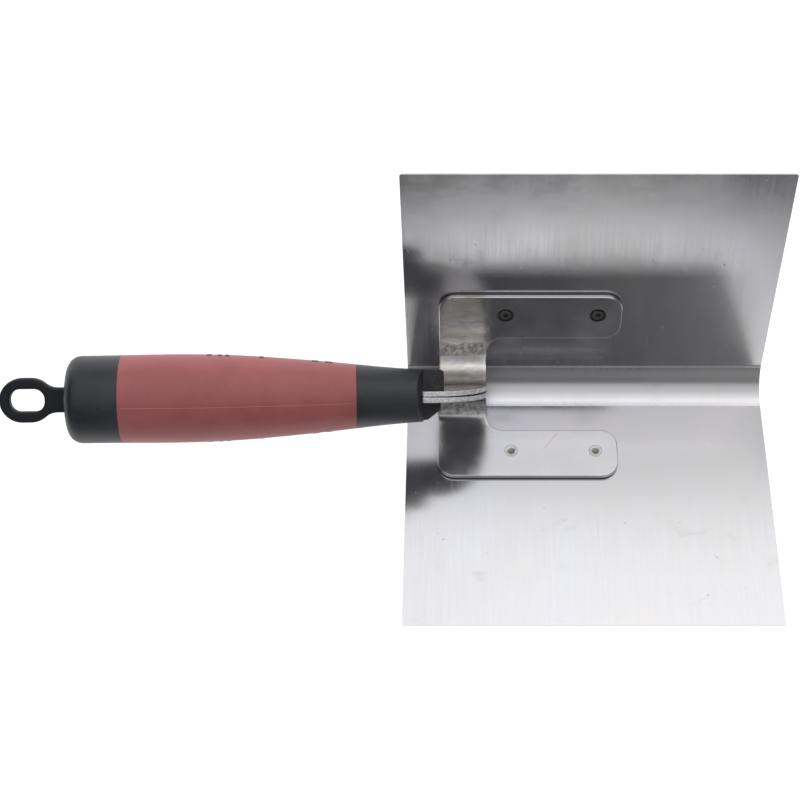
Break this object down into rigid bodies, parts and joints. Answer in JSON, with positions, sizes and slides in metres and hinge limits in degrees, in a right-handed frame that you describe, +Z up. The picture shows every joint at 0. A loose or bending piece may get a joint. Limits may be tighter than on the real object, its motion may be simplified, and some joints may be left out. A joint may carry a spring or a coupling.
{
  "type": "inside corner trowel",
  "caption": "Inside corner trowel: a thin steel sheet folded to an open V, carried on a two-plate riveted bracket, with a round soft-grip handle and a hang ring at its butt.",
  "frame": {"origin": "lowest point of the folded crease, on the blade's outer face, halfway along the blade", "axes": "+X along the crease to the front of the blade, +Y to the left wing, +Z up from the crease to the handle side; the handle points along -X"},
  "size_m": [0.2584, 0.1478, 0.0626],
  "materials": {
    "blade_steel": "thin polished stainless sheet, fine brushing along the crease",
    "bracket_steel": "stamped steel plate, satin with mill marks",
    "rivet_steel": "set rivet heads",
    "core_plastic": "hard black moulding, rough where it is cut",
    "nose_skin": "charcoal soft-touch skin, satin",
    "grip_skin": "muted brick red soft grip, fine grain",
    "butt_skin": "charcoal soft-touch skin, satin",
    "ring_plastic": "near-black hard moulding"
  },
  "bodies": {
    "root": {"blade": "blade_steel", "bracket_plate_left": "bracket_steel", "bracket_plate_right": "bracket_steel", "rivet_left_rear": "rivet_steel", "rivet_left_front": "rivet_steel", "rivet_right_rear": "rivet_steel", "rivet_right_front": "rivet_steel", "tang_rivet": "rivet_steel", "handle_core": "core_plastic", "nose_sleeve": "nose_skin", "grip_sleeve": "grip_skin", "butt_cap": "butt_skin", "hang_ring": "ring_plastic"}
  },
  "joints": []
}
